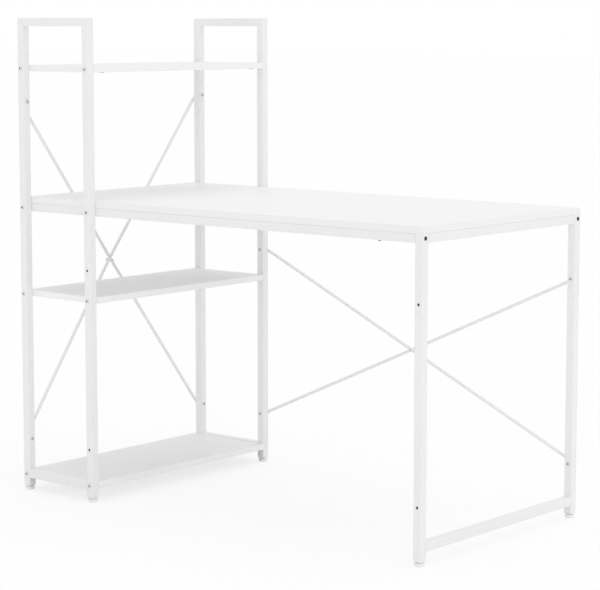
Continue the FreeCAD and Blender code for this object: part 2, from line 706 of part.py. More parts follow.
# The middle of the overall box goes over the origin
overall = FreeCAD.BoundBox()
for piece in finished:
    overall.add(piece.Shape.BoundBox)
for piece in finished:
    place = piece.Placement
    place.Base = place.Base - Vector(overall.Center.x, overall.Center.y, 0)
    piece.Placement = place
doc.recompute()

for thing in doc.Objects:
    if "Invalid" in thing.State or "Error" in thing.State:
        raise ValueError(f"{thing.Label} did not build: {thing.State}")

os.makedirs("parts", exist_ok=True)
for piece in finished:
    if piece.Shape.isNull() or not piece.Shape.isValid():
        raise ValueError(f"{piece.Label} has no valid shape")
    piece.Shape.exportStep(f"parts/{piece.Label}.step")
print(len(finished), "pieces written")
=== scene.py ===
import math

import bmesh
import bpy
from mathutils import Matrix, Vector


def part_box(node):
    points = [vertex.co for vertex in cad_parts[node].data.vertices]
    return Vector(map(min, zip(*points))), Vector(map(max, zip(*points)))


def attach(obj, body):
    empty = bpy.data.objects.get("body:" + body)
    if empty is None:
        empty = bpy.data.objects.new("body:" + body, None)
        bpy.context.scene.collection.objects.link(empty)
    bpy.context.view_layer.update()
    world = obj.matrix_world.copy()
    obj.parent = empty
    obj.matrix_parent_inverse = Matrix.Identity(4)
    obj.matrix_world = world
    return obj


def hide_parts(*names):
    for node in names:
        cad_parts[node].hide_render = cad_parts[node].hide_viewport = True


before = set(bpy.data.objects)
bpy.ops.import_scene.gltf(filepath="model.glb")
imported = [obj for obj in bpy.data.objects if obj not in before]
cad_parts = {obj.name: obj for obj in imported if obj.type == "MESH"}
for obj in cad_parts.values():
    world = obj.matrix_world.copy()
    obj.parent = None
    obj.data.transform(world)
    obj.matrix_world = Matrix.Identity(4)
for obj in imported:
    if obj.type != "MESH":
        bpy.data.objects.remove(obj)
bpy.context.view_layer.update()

# Sizes of the rods, fasteners and feet, in metres
EYE_RADIUS = 0.0065
TAB_THICK = 0.003
TAB_FLAT = 0.012
TAB_END = 0.0185
TAB_TAIL = 0.024
NECK_HALF = 0.003
TIP_HALF = 0.0004
ROD_START = 0.008
SIDE_ROD_BOW = 0.008
ROD_DIAMETER = 0.008
ROD_LIFT = 0.0045
ROD_GAP = 0.0004
BOLT_HEAD = 0.009
BOLT_HEAD_HEIGHT = 0.0028
LEG_HEAD_HEIGHT = 0.0015
BOLT_DIAMETER = 0.005
BOLT_SOCKET = 0.0042
SOCKET_DEPTH = 0.0019
LEG_SOCKET_DEPTH = 0.0010
SHELF_BOLT_LENGTH = 0.062
FRAME_BOLT_LENGTH = 0.033
BRACE_BOLT_LENGTH = 0.0285
BOLT_THREAD = 0.008
BOLT_PITCH = 0.0008
BOLT_POINT = 0.0004
NUT_FLATS = 0.008
NUT_HEIGHT = 0.004
NUT_HOLE = 0.0052
CROSS_HEAD = 0.0065
CROSS_HEAD_HEIGHT = 0.0022
CROSS_DIAMETER = 0.004
CROSS_DRIVE = (0.0038, 0.0009)
CROSS_DRIVE_DEPTH = 0.0013
CROSS_NUT_FLATS = 0.007
CROSS_NUT_HEIGHT = 0.0032
CROSS_NUT_HOLE = 0.0042
CROSS_PAST_GRIP = 0.0047
SCREW_HEAD = 0.008
SCREW_HEAD_HEIGHT = 0.0025
SCREW_DIAMETER = 0.004
SCREW_LENGTH = 0.030
SCREW_DRIVE = (0.0046, 0.0010)
SCREW_DRIVE_DEPTH = 0.0015
SCREW_FROM_LEFT = 0.2
SCREW_FROM_RIGHT = 0.12
BARREL_DIAMETER = 0.010
BARREL_LENGTH = 0.013
BARREL_INSET = 0.035
BARREL_PROUD = 0.001
BARREL_BEVEL = 0.0006
BARREL_SLOT = (0.0076, 0.0016)
BARREL_SLOT_DEPTH = 0.0014
FOOT_PAD = 0.022
FOOT_PAD_HEIGHT = 0.0075
FOOT_GRIP_DEPTH = 0.0007
FOOT_GRIP_COUNT = 16
FOOT_HEIGHT = 0.010
FOOT_COLLAR = 0.013
FOOT_STEM = 0.008
FOOT_STEM_TOP = 0.026
FOOT_PITCH = 0.00125
TUBE = 0.020
BAND_DEPTH = 0.0009
BAND_SEAM_END = 0.0012
WELD_INSET = 0.0026

# Points round each ring of a shape, and how square the rings of a flat eye and of a round rod are
RING_POINTS = 48
EYE_SQUARENESS = 7.0
ROD_SQUARENESS = 2.0


def middle(node):
    """The middle of a piece's box."""
    low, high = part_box(node)
    return (low + high) / 2


# Finishes

def new_finish(name):
    """A material, its node tree, its shader and the place on the piece."""
    finish = bpy.data.materials.new(name)
    finish.use_nodes = True
    tree = finish.node_tree
    shader = tree.nodes["Principled BSDF"]
    place = tree.nodes.new("ShaderNodeTexCoord").outputs["Object"]
    return finish, tree, shader, place


def stretched(tree, place, scale):
    """Coordinates pressed together along each axis by scale."""
    mapping = tree.nodes.new("ShaderNodeMapping")
    mapping.inputs["Scale"].default_value = scale
    tree.links.new(place, mapping.inputs["Vector"])
    return mapping.outputs["Vector"]


def cloudy(tree, place, scale, detail=3.0):
    """A noise between 0 and 1 with features of about 1 / scale metres."""
    noise = tree.nodes.new("ShaderNodeTexNoise")
    noise.inputs["Scale"].default_value = scale
    noise.inputs["Detail"].default_value = detail
    tree.links.new(place, noise.inputs["Vector"])
    return noise.outputs["Fac"]


def spread(tree, source, low, high):
    """Maps the busy middle of a noise to a range of numbers."""
    ranged = tree.nodes.new("ShaderNodeMapRange")
    ranged.inputs["From Min"].default_value = 0.3
    ranged.inputs["From Max"].default_value = 0.7
    ranged.inputs["To Min"].default_value = low
    ranged.inputs["To Max"].default_value = high
    tree.links.new(source, ranged.inputs["Value"])
    return ranged.outputs["Result"]


def between(tree, factor, low, high):
    """A colour between two, by a factor. Either colour may be an output of another node."""
    mix = tree.nodes.new("ShaderNodeMix")
    mix.data_type = "RGBA"
    named = {socket.identifier: socket for socket in mix.inputs}
    for key, colour in (("A_Color", low), ("B_Color", high)):
        if isinstance(colour, tuple):
            named[key].default_value = (*colour, 1.0)
        else:
            tree.links.new(colour, named[key])
    tree.links.new(factor, named["Factor_Float"])
    return [output for output in mix.outputs if output.identifier == "Result_Color"][0]


def sums(tree, operation, first, second=None):
    """One step of arithmetic on numbers or the outputs of other nodes."""
    node = tree.nodes.new("ShaderNodeMath")
    node.operation = operation
    for socket, source in zip(node.inputs, (first, second)):
        if source is None:
            continue
        if isinstance(source, (int, float)):
            socket.default_value = source
        else:
            tree.links.new(source, socket)
    return node.outputs["Value"]


def raise_surface(tree, shader, height, strength, distance):
    """Shades the surface as if a texture raised it."""
    bump = tree.nodes.new("ShaderNodeBump")
    bump.inputs["Strength"].default_value = strength
    bump.inputs["Distance"].default_value = distance
    tree.links.new(height, bump.inputs["Height"])
    tree.links.new(bump.outputs["Normal"], shader.inputs["Normal"])


def powder_coat(name, shade, peel_height):
    """White powder coat with its fine orange peel and a faint unevenness in the white."""
    finish, tree, shader, place = new_finish(name)
    drift = spread(tree, cloudy(tree, place, 9.0), 0.0, 1.0)
    pale = tuple(shade * part for part in (1.0, 1.0, 0.995))
    dull = tuple(shade * part for part in (0.978, 0.98, 0.982))
    tree.links.new(between(tree, drift, dull, pale), shader.inputs["Base Color"])
    peel = cloudy(tree, place, 900.0, 2.0)
    tree.links.new(spread(tree, peel, 0.40, 0.52), shader.inputs["Roughness"])
    raise_surface(tree, shader, peel, 0.16, peel_height)
    shader.inputs["Specular IOR Level"].default_value = 0.4
    return finish


def melamine(name, node, shade, band_shade, along_x):
    """White board facing with a faint pressed grain, and the glued band round its edges."""
    finish, tree, shader, place = new_finish(name)
    run = (2.5, 70.0, 70.0) if along_x else (70.0, 2.5, 70.0)
    grain = cloudy(tree, stretched(tree, place, run), 4.0, 5.0)
    drift = cloudy(tree, place, 5.0)
    tone = sums(tree, "ADD", sums(tree, "MULTIPLY", grain, 0.6), sums(tree, "MULTIPLY", drift, 0.4))
    pale = tuple(shade * part for part in (1.0, 1.0, 0.996))
    dull = tuple(shade * part for part in (0.972, 0.973, 0.972))
    facing = between(tree, spread(tree, tone, 0.0, 1.0), dull, pale)

    low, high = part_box(node)
    split = tree.nodes.new("ShaderNodeSeparateXYZ")
    tree.links.new(place, split.inputs["Vector"])
    depth = None
    for axis in (0, 1):
        offset = sums(tree, "SUBTRACT", split.outputs[axis], (low[axis] + high[axis]) / 2)
        inward = sums(tree, "SUBTRACT", (high[axis] - low[axis]) / 2, sums(tree, "ABSOLUTE", offset))
        depth = inward if depth is None else sums(tree, "MINIMUM", depth, inward)
    band = sums(tree, "LESS_THAN", depth, BAND_DEPTH)
    before_end = sums(tree, "LESS_THAN", depth, BAND_SEAM_END)
    past_band = sums(tree, "GREATER_THAN", depth, BAND_DEPTH)
    seam = sums(tree, "MULTIPLY", before_end, past_band)
    banded = between(tree, band, facing, tuple(band_shade * part for part in (1.0, 1.0, 0.996)))
    seamed = between(tree, seam, banded, tuple(shade * part for part in (0.80, 0.80, 0.79)))
    tree.links.new(seamed, shader.inputs["Base Color"])

    pore_run = (60.0, 600.0, 600.0) if along_x else (600.0, 60.0, 600.0)
    pores = cloudy(tree, stretched(tree, place, pore_run), 2.0)
    tree.links.new(spread(tree, pores, 0.42, 0.54), shader.inputs["Roughness"])
    raise_surface(tree, shader, pores, 0.10, 0.00004)
    shader.inputs["Specular IOR Level"].default_value = 0.4
    return finish


def plated(name, dull, pale, rough):
    """Plated or blackened steel with fine turning marks. Some colours given to it below paint shade into
    socket recesses and onto barrel nuts.
    """
    finish, tree, shader, place = new_finish(name)
    marks = cloudy(tree, place, 2500.0, 4.0)
    shade = between(tree, spread(tree, marks, 0.0, 1.0), dull, pale)
    tree.links.new(shade, shader.inputs["Base Color"])
    tree.links.new(spread(tree, marks, rough - 0.08, rough + 0.08), shader.inputs["Roughness"])
    raise_surface(tree, shader, marks, 0.08, 0.000008)
    shader.inputs["Metallic"].default_value = 0.9
    return finish


def moulded(name, shade):
    """Matt moulded plastic with a fine spark-eroded grain."""
    finish, tree, shader, place = new_finish(name)
    grain = cloudy(tree, place, 1800.0, 2.0)
    pale = tuple(shade * part for part in (1.0, 1.0, 0.99))
    dull = tuple(shade * part for part in (0.95, 0.95, 0.945))
    drift = spread(tree, cloudy(tree, place, 60.0), 0.0, 1.0)
    tree.links.new(between(tree, drift, dull, pale), shader.inputs["Base Color"])
    tree.links.new(spread(tree, grain, 0.5, 0.62), shader.inputs["Roughness"])
    raise_surface(tree, shader, grain, 0.15, 0.000008)
    return finish


FRAME_PAINT = powder_coat("frame_paint", 0.88, 0.00004)
ROD_PAINT = powder_coat("rod_paint", 0.88, 0.000012)
DESK_FACING = melamine("desk_facing", "desk_board", 0.90, 0.89, True)
# The shelves are the desk's melamine with painted light: a darker facing, painted shade for the shelves
# under the desk, and an edge band paler than that facing, a painted lightening of their edges.
SHELF_FACING_PAINTED_SHADE = melamine("shelf_facing_painted_shade", "shelf_top", 0.85, 0.91, False)
ZINC = plated("zinc_plating", (0.66, 0.66, 0.67), (0.76, 0.76, 0.77), 0.36)
# Near-black socket recesses: painted shade in the sockets of the zinc apron bolts; the sockets of the black
# leg bolts are this dark anyway.
SOCKET_SHADE = plated("socket_shade", (0.03, 0.03, 0.032), (0.06, 0.06, 0.06), 0.55)
# Grey socket recesses of the shelf and brace bolts: the zinc with painted shade in the recess.
SOCKET_GREY_SHADE = plated("socket_grey_painted_shade", (0.43, 0.43, 0.435), (0.53, 0.53, 0.535), 0.5)
# Zinc darkened to a dark grey: on the barrel nuts it is painted shade, so their ends under the shelves read
# as dark dashes; the board screws under the aprons use it too.
DARK_GREY_ZINC = plated("dark_grey_zinc", (0.17, 0.17, 0.175), (0.25, 0.25, 0.255), 0.55)
BLACK_OXIDE = plated("black_oxide", (0.04, 0.04, 0.043), (0.065, 0.065, 0.068), 0.42)
FOOT_PLASTIC = moulded("foot_plastic", 0.92)
PLUG_PLASTIC = moulded("plug_plastic", 0.76)


def finish_for(node):
    """The finish of a piece that keeps its solid from the frame."""
    if node == "desk_board":
        return DESK_FACING
    if node in ("shelf_top", "shelf_middle", "shelf_bottom"):
        return SHELF_FACING_PAINTED_SHADE
    if node in ("apron_end_plugs", "apron_end_caps", "foot_inserts"):
        return PLUG_PLASTIC
    if node == "apron_rivet_nuts":
        return ZINC
    return FRAME_PAINT


for node_name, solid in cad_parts.items():
    solid.data.materials.clear()
    solid.data.materials.append(finish_for(node_name))


# Shapes of single fasteners, each along its own Z

def round_outline(radius):
    return lambda angle: radius


def hexagon_outline(flats):
    return lambda angle: flats / 2 / math.cos((angle + math.pi / 6) % (math.pi / 3) - math.pi / 6)


def slot_outline(length, width):
    def radius(angle):
        across = max(abs(math.cos(angle)), 1e-6)
        along = max(abs(math.sin(angle)), 1e-6)
        return min(length / 2 / across, width / 2 / along)
    return radius


def cross_outline(length, width):
    flat = slot_outline(length, width)
    upright = slot_outline(width, length)
    return lambda angle: max(flat(angle), upright(angle))


def scalloped_outline(radius, depth, count):
    return lambda angle: radius - depth * (0.5 - 0.5 * math.cos(count * angle)) ** 2


def skin(name, rings, recess=()):
    """A closed shape through rings of points. Faces between the rings in recess are marked."""
    shape = bmesh.new()
    mark = shape.faces.layers.int.new("recess")
    rows = [[shape.verts.new(point) for point in ring] for ring in rings]
    for number, (lower, upper) in enumerate(zip(rows, rows[1:])):
        for step in range(RING_POINTS):
            following = (step + 1) % RING_POINTS
            face = shape.faces.new((lower[step], lower[following], upper[following], upper[step]))
            face[mark] = int(number in recess)
    shape.faces.new(list(reversed(rows[0])))[mark] = int(0 in recess)
    shape.faces.new(rows[-1])[mark] = int(len(rows) - 2 in recess)
    bmesh.ops.recalc_face_normals(shape, faces=shape.faces)
    mesh = bpy.data.meshes.new(name)
    shape.to_mesh(mesh)
    shape.free()
    mesh.shade_smooth()
    mesh.set_sharp_from_angle(angle=math.radians(35))
    return bpy.data.objects.new(name, mesh)


RING_ANGLES = [2 * math.pi * step / RING_POINTS for step in range(RING_POINTS)]


def stacked_rings(name, outlines, recess=()):
    """A closed shape through outlines at heights."""
    rings = [[(outline(a) * math.cos(a), outline(a) * math.sin(a), height) for a in RING_ANGLES]
             for outline, height in outlines]
    return skin(name, rings, recess)


def thread_rings(radius, start, end, pitch):
    """Ridges of a thread between two heights."""
    rings = []
    count = max(1, round((end - start) / pitch))
    step = (end - start) / count
    for turn in range(count):
        foot = start + turn * step
        rings.append((round_outline(radius * 0.88), foot + 0.10 * step))
        rings.append((round_outline(radius), foot + 0.45 * step))
        rings.append((round_outline(radius), foot + 0.60 * step))
        rings.append((round_outline(radius * 0.88), foot + 0.95 * step))
    return rings


def domed_head(radius, height, drive, drive_depth):
    """Rings from the bottom of the drive recess, over the dome, to the underside of the head."""
    return [
        (drive, -height + drive_depth),
        (drive, -height),
        (round_outline(radius * 0.62), -height),
        (round_outline(radius * 0.78), -height * 0.88),
        (round_outline(radius * 0.91), -height * 0.62),
        (round_outline(radius * 0.98), -height * 0.32),
        (round_outline(radius), -height * 0.14),
        (round_outline(radius * 0.985), 0.0),
    ]


def bolt_shape(name, length, head, head_height, diameter, drive, drive_depth):
    """A bolt with its head under Z zero and a thread at the far end of its shank."""
    radius = diameter / 2
    rings = domed_head(head / 2, head_height, drive, drive_depth)
    thread_start = length - BOLT_THREAD
    rings += [(round_outline(radius), 0.0), (round_outline(radius), thread_start)]
    rings += thread_rings(radius, thread_start, length - BOLT_POINT, BOLT_PITCH)
    rings.append((round_outline(radius * 0.8), length))
    return stacked_rings(name, rings, recess=(0,))


def frame_bolt(name, length, head_height=BOLT_HEAD_HEIGHT, socket_depth=SOCKET_DEPTH):
    """One of the frame's bolts, with a hexagon socket in its head."""
    socket = hexagon_outline(BOLT_SOCKET)
    return bolt_shape(name, length, BOLT_HEAD, head_height, BOLT_DIAMETER, socket, socket_depth)


def nut_shape(name, flats, height, hole):
    """A hexagonal nut on Z zero with chamfered corners and a threaded hole."""
    rings = [
        (round_outline(hole / 2), 0.0),
        (round_outline(flats * 0.48), 0.0),
        (hexagon_outline(flats), height * 0.10),
        (hexagon_outline(flats), height * 0.86),
        (round_outline(flats * 0.47), height),
        (round_outline(hole / 2 * 1.12), height),
        (round_outline(hole / 2), height * 0.92),
    ]
    return stacked_rings(name, rings)


def barrel_nut_shape(name):
    """A barrel nut that stands on Z zero, with a screwdriver slot in that end."""
    radius = BARREL_DIAMETER / 2
    rings = [
        (slot_outline(*BARREL_SLOT), BARREL_SLOT_DEPTH),
        (slot_outline(*BARREL_SLOT), 0.0),
        (round_outline(radius * 0.90), 0.0),
        (round_outline(radius), BARREL_BEVEL),
        (round_outline(radius), BARREL_LENGTH - BARREL_BEVEL),
        (round_outline(radius * 0.90), BARREL_LENGTH),
    ]
    return stacked_rings(name, rings, recess=(0,))


def foot_shape(name):
    """A levelling foot: a pad with finger grips round it, a collar and a threaded stem."""
    pad = FOOT_PAD / 2
    grips = scalloped_outline(pad, FOOT_GRIP_DEPTH, FOOT_GRIP_COUNT)
    rings = [
        (round_outline(pad * 0.80), 0.0),
        (round_outline(pad * 0.86), 0.0002),
        (grips, 0.0012),
        (grips, FOOT_PAD_HEIGHT - 0.0016),
        (round_outline(pad * 0.93), FOOT_PAD_HEIGHT - 0.0005),
        (round_outline(pad * 0.86), FOOT_PAD_HEIGHT),
        (round_outline(FOOT_COLLAR / 2 + 0.0006), FOOT_PAD_HEIGHT),
        (round_outline(FOOT_COLLAR / 2), FOOT_PAD_HEIGHT + 0.0006),
        (round_outline(FOOT_COLLAR / 2), FOOT_HEIGHT),
        (round_outline(FOOT_STEM / 2 * 0.88), FOOT_HEIGHT),
    ]
    rings += thread_rings(FOOT_STEM / 2, FOOT_HEIGHT, FOOT_STEM_TOP - 0.001, FOOT_PITCH)
    rings.append((round_outline(FOOT_STEM / 2 * 0.8), FOOT_STEM_TOP))
    return stacked_rings(name, rings)


# Node trees that set fasteners in rows and lay weld beads

def tree_input(tree, name, kind, default=None):
    socket = tree.interface.new_socket(name=name, in_out="INPUT", socket_type=kind)
    if default is not None:
        socket.default_value = default
    return socket


def fastener_tree():
    """Sets one fastener on each point, along the point's way and turned by chance about it."""
    tree = bpy.data.node_groups.new("fastener_rows", "GeometryNodeTree")
    tree_input(tree, "Geometry", "NodeSocketGeometry")
    tree_input(tree, "Fastener", "NodeSocketObject")
    tree_input(tree, "Finish", "NodeSocketMaterial")
    tree_input(tree, "Recess finish and shade", "NodeSocketMaterial")
    tree_input(tree, "Turn seed", "NodeSocketInt", 1)
    tree.interface.new_socket(name="Geometry", in_out="OUTPUT", socket_type="NodeSocketGeometry")
    add = tree.nodes.new
    given = add("NodeGroupInput").outputs
    way = add("GeometryNodeInputNamedAttribute")
    way.data_type = "FLOAT_VECTOR"
    way.inputs["Name"].default_value = "way"
    aim = add("FunctionNodeAlignRotationToVector")
    aim.axis = "Z"
    tree.links.new(way.outputs["Attribute"], aim.inputs["Vector"])
    chance = add("FunctionNodeRandomValue")
    chance.data_type = "FLOAT"
    limits = [socket for socket in chance.inputs if socket.type == "VALUE"]
    limits[0].default_value = 0.0
    limits[1].default_value = 2 * math.pi
    tree.links.new(given["Turn seed"], chance.inputs["Seed"])
    spin = add("FunctionNodeAxisAngleToRotation")
    spin.inputs["Axis"].default_value = (0.0, 0.0, 1.0)
    tree.links.new([o for o in chance.outputs if o.type == "VALUE"][0], spin.inputs["Angle"])
    turned = add("FunctionNodeRotateRotation")
    turned.rotation_space = "LOCAL"
    tree.links.new(aim.outputs["Rotation"], turned.inputs["Rotation"])
    tree.links.new(spin.outputs["Rotation"], turned.inputs["Rotate By"])
    shape = add("GeometryNodeObjectInfo")
    tree.links.new(given["Fastener"], shape.inputs["Object"])
    copies = add("GeometryNodeInstanceOnPoints")
    tree.links.new(given["Geometry"], copies.inputs["Points"])
    tree.links.new(shape.outputs["Geometry"], copies.inputs["Instance"])
    tree.links.new(turned.outputs["Rotation"], copies.inputs["Rotation"])
    real = add("GeometryNodeRealizeInstances")
    tree.links.new(copies.outputs["Instances"], real.inputs["Geometry"])
    plain = add("GeometryNodeSetMaterial")
    tree.links.new(real.outputs["Geometry"], plain.inputs["Geometry"])
    tree.links.new(given["Finish"], plain.inputs["Material"])
    # Drive recess faces take the recess material, which on most fasteners is painted shade.
    recess = add("GeometryNodeInputNamedAttribute")
    recess.data_type = "INT"
    recess.inputs["Name"].default_value = "recess"
    inside = add("GeometryNodeSetMaterial")
    tree.links.new(plain.outputs["Geometry"], inside.inputs["Geometry"])
    tree.links.new(recess.outputs["Attribute"], inside.inputs["Selection"])
    tree.links.new(given["Recess finish and shade"], inside.inputs["Material"])
    tree.links.new(inside.outputs["Geometry"], add("NodeGroupOutput").inputs["Geometry"])
    return tree


def weld_tree():
    """Lays overlapping drops of weld along each edge of a mesh."""
    tree = bpy.data.node_groups.new("weld_beads", "GeometryNodeTree")
    tree_input(tree, "Geometry", "NodeSocketGeometry")
    tree_input(tree, "Drop radius", "NodeSocketFloat", 0.0017)
    tree_input(tree, "Drop step", "NodeSocketFloat", 0.0012)
    tree_input(tree, "Unevenness", "NodeSocketFloat", 0.12)
    tree_input(tree, "Seed", "NodeSocketInt", 4)
    tree_input(tree, "Finish", "NodeSocketMaterial")
    tree.interface.new_socket(name="Geometry", in_out="OUTPUT", socket_type="NodeSocketGeometry")
    add = tree.nodes.new
    given = add("NodeGroupInput").outputs
    line = add("GeometryNodeMeshToCurve")
    tree.links.new(given["Geometry"], line.inputs["Mesh"])
    steps = add("GeometryNodeResampleCurve")
    steps.mode = "LENGTH"
    tree.links.new(line.outputs["Curve"], steps.inputs["Curve"])
    tree.links.new(given["Drop step"], steps.inputs["Length"])
    drop = add("GeometryNodeMeshIcoSphere")
    drop.inputs["Subdivisions"].default_value = 2
    tree.links.new(given["Drop radius"], drop.inputs["Radius"])
    smooth = add("GeometryNodeSetShadeSmooth")
    tree.links.new(drop.outputs["Mesh"], smooth.inputs["Geometry"])
    least = add("ShaderNodeMath")
    least.operation = "SUBTRACT"
    least.inputs[0].default_value = 1.0
    tree.links.new(given["Unevenness"], least.inputs[1])
    chance = add("FunctionNodeRandomValue")
    chance.data_type = "FLOAT"
    limits = [socket for socket in chance.inputs if socket.type == "VALUE"]
    tree.links.new(least.outputs["Value"], limits[0])
    limits[1].default_value = 1.0
    tree.links.new(given["Seed"], chance.inputs["Seed"])
    copies = add("GeometryNodeInstanceOnPoints")
    tree.links.new(steps.outputs["Curve"], copies.inputs["Points"])
    tree.links.new(smooth.outputs["Geometry"], copies.inputs["Instance"])
    tree.links.new([o for o in chance.outputs if o.type == "VALUE"][0], copies.inputs["Scale"])
    real = add("GeometryNodeRealizeInstances")
    tree.links.new(copies.outputs["Instances"], real.inputs["Geometry"])
    painted = add("GeometryNodeSetMaterial")
    tree.links.new(real.outputs["Geometry"], painted.inputs["Geometry"])
    tree.links.new(given["Finish"], painted.inputs["Material"])
    tree.links.new(painted.outputs["Geometry"], add("NodeGroupOutput").inputs["Geometry"])
    return tree


FASTENER_ROWS = fastener_tree()
WELD_BEADS = weld_tree()


def grow(name, mesh, tree, inputs):
    """Runs a node tree on a mesh and returns its result as a plain mesh object."""
    piece = bpy.data.objects.new(name, mesh)
    bpy.context.scene.collection.objects.link(piece)
    modifier = piece.modifiers.new("grow", "NODES")
    modifier.node_group = tree
    sockets = {item.name: item.identifier
               for item in tree.interface.items_tree if item.in_out == "INPUT"}
    for key, setting in inputs.items():
        modifier[sockets[key]] = setting
    settled = bpy.context.evaluated_depsgraph_get()
    plain = bpy.data.meshes.new_from_object(piece.evaluated_get(settled))
    piece.modifiers.clear()
    piece.data = plain
    piece.data.name = name
    return piece


def fastener_row(name, node, shape, places, finish, seed, recess_finish_and_shade=SOCKET_SHADE):
    """One piece of many equal fasteners, in place of a node of the frame."""
    mesh = bpy.data.meshes.new(name + "_places")
    mesh.from_pydata([place for place, way in places], [], [])
    ways = mesh.attributes.new("way", "FLOAT_VECTOR", "POINT")
    for entry, (place, way) in zip(ways.data, places):
        entry.vector = way
    bpy.context.scene.collection.objects.link(shape)
    piece = grow(name, mesh, FASTENER_ROWS, {
        "Fastener": shape,
        "Finish": finish,
        "Recess finish and shade": recess_finish_and_shade,
        "Turn seed": seed,
    })
    bpy.data.objects.remove(shape)
    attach(piece, "frame")
    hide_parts(node)


# Where the fasteners sit, read from the frame's pieces

LADDERS = (
    ("tower_post_front_left", "tower_post_front_right", Vector((0, 1, 0))),
    ("tower_post_back_left", "tower_post_back_right", Vector((0, -1, 0))),
)
SIDE_OUT = Vector((-1, 0, 0))
BACK_OUT = Vector((0, 1, 0))
UP = Vector((0, 0, 1))


def outer_y(node, inward):
    """Where along Y a post's outer face lies, the one away from the other ladder."""
    low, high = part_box(node)
    return low.y if inward.y > 0 else high.y


def ladder_places(heights):
    """Places on the outer faces of the tower's posts, at heights."""
    places = []
    for left, right, inward in LADDERS:
        for post in (left, right):
            for height in heights:
                places.append((Vector((middle(post).x, outer_y(post, inward), height)), inward))
    return places


def eye_levels(rod):
    """The heights of a rod's two eyes."""
    low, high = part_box(rod)
    return low.z + EYE_RADIUS, high.z - EYE_RADIUS


def brace_places():
    """Places of the bolts' head seats at the rods' eyes, with the way that they point."""
    places = []
    for post in ("tower_post_front_left", "tower_post_back_left"):
        for level in eye_levels("side_brace_falling"):
            places.append((Vector((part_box(post)[1].x, middle(post).y, level)), SIDE_OUT))
    for post in ("tower_post_back_right", "leg_post_back"):
        for level in eye_levels("back_brace_falling"):
            places.append((Vector((middle(post).x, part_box(post)[0].y, level)), BACK_OUT))
    return places


def crossing_places():
    """Head seats at the two crossings of rods, and the seats of their nuts."""
    side_low, side_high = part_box("side_brace_falling")
    outer_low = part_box("side_brace_rising")[0]
    side = Vector((
        side_low.x + ROD_DIAMETER + ROD_GAP,
        (side_low.y + side_high.y) / 2,
        (side_low.z + side_high.z) / 2,
    ))
    side_nut = Vector((outer_low.x - ROD_GAP, side.y, side.z))
    back_low, back_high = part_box("back_brace_falling")
    faces = (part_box("tower_post_back_right")[1].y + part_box("leg_post_back")[1].y) / 2
    seat = ROD_DIAMETER / 2 + ROD_GAP
    line = faces + ROD_LIFT
    back = Vector(((back_low.x + back_high.x) / 2, line - seat, (back_low.z + back_high.z) / 2))
    back_nut = Vector((back.x, line + ROD_DIAMETER + ROD_GAP + seat, back.z))
    return [(side, SIDE_OUT), (back, BACK_OUT)], [(side_nut, SIDE_OUT), (back_nut, BACK_OUT)]


SHELVES = ("shelf_bottom", "shelf_middle", "shelf_top")

shelf_bolt = frame_bolt("shelf_bolt", SHELF_BOLT_LENGTH)
fastener_row("shelf_bolt_set", "shelf_bolts", shelf_bolt,
             ladder_places([middle(shelf).z for shelf in SHELVES]), ZINC, 11, SOCKET_GREY_SHADE)

apron_bolt = frame_bolt("apron_bolt", FRAME_BOLT_LENGTH)
fastener_row("apron_bolt_set", "apron_bolts", apron_bolt,
             ladder_places([middle("apron_front").z]), ZINC, 12)

leg_bolt = frame_bolt("leg_bolt", FRAME_BOLT_LENGTH, LEG_HEAD_HEIGHT, LEG_SOCKET_DEPTH)
leg_places = [(Vector((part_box(post)[1].x, middle(post).y, middle("apron_front").z)), Vector((-1, 0, 0)))
              for post in ("leg_post_front", "leg_post_back")]
fastener_row("leg_bolt_set", "leg_bolts", leg_bolt, leg_places, BLACK_OXIDE, 13)

brace_bolt = frame_bolt("brace_bolt", BRACE_BOLT_LENGTH)
fastener_row("brace_bolt_set", "brace_bolts", brace_bolt, brace_places(), ZINC, 14, SOCKET_GREY_SHADE)

brace_nut = nut_shape("brace_nut", NUT_FLATS, NUT_HEIGHT, NUT_HOLE)
nut_places = [(place + way * (TUBE + TAB_THICK), way) for place, way in brace_places()]
fastener_row("brace_nut_set", "brace_nuts", brace_nut, nut_places, ZINC, 15)

cross_heads, cross_ends = crossing_places()
cross_grip = (cross_ends[0][0] - cross_heads[0][0]).length
cross_bolt = bolt_shape("cross_bolt", cross_grip + CROSS_PAST_GRIP, CROSS_HEAD, CROSS_HEAD_HEIGHT,
                        CROSS_DIAMETER, cross_outline(*CROSS_DRIVE), CROSS_DRIVE_DEPTH)
fastener_row("cross_bolt_set", "brace_cross_bolts", cross_bolt, cross_heads, ZINC, 16, ZINC)
cross_nut = nut_shape("cross_nut", CROSS_NUT_FLATS, CROSS_NUT_HEIGHT, CROSS_NUT_HOLE)
fastener_row("cross_nut_set", "brace_cross_nuts", cross_nut, cross_ends, ZINC, 17)

board_low, board_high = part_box("desk_board")
screw = bolt_shape("board_screw", SCREW_LENGTH, SCREW_HEAD, SCREW_HEAD_HEIGHT, SCREW_DIAMETER,
                   cross_outline(*SCREW_DRIVE), SCREW_DRIVE_DEPTH)
screw_places = [(Vector((x, middle(apron).y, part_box(apron)[0].z)), UP)
                for x in (board_low.x + SCREW_FROM_LEFT, board_high.x - SCREW_FROM_RIGHT)
                for apron in ("apron_front", "apron_back")]
fastener_row("board_screw_set", "board_screws", screw, screw_places, DARK_GREY_ZINC, 18)

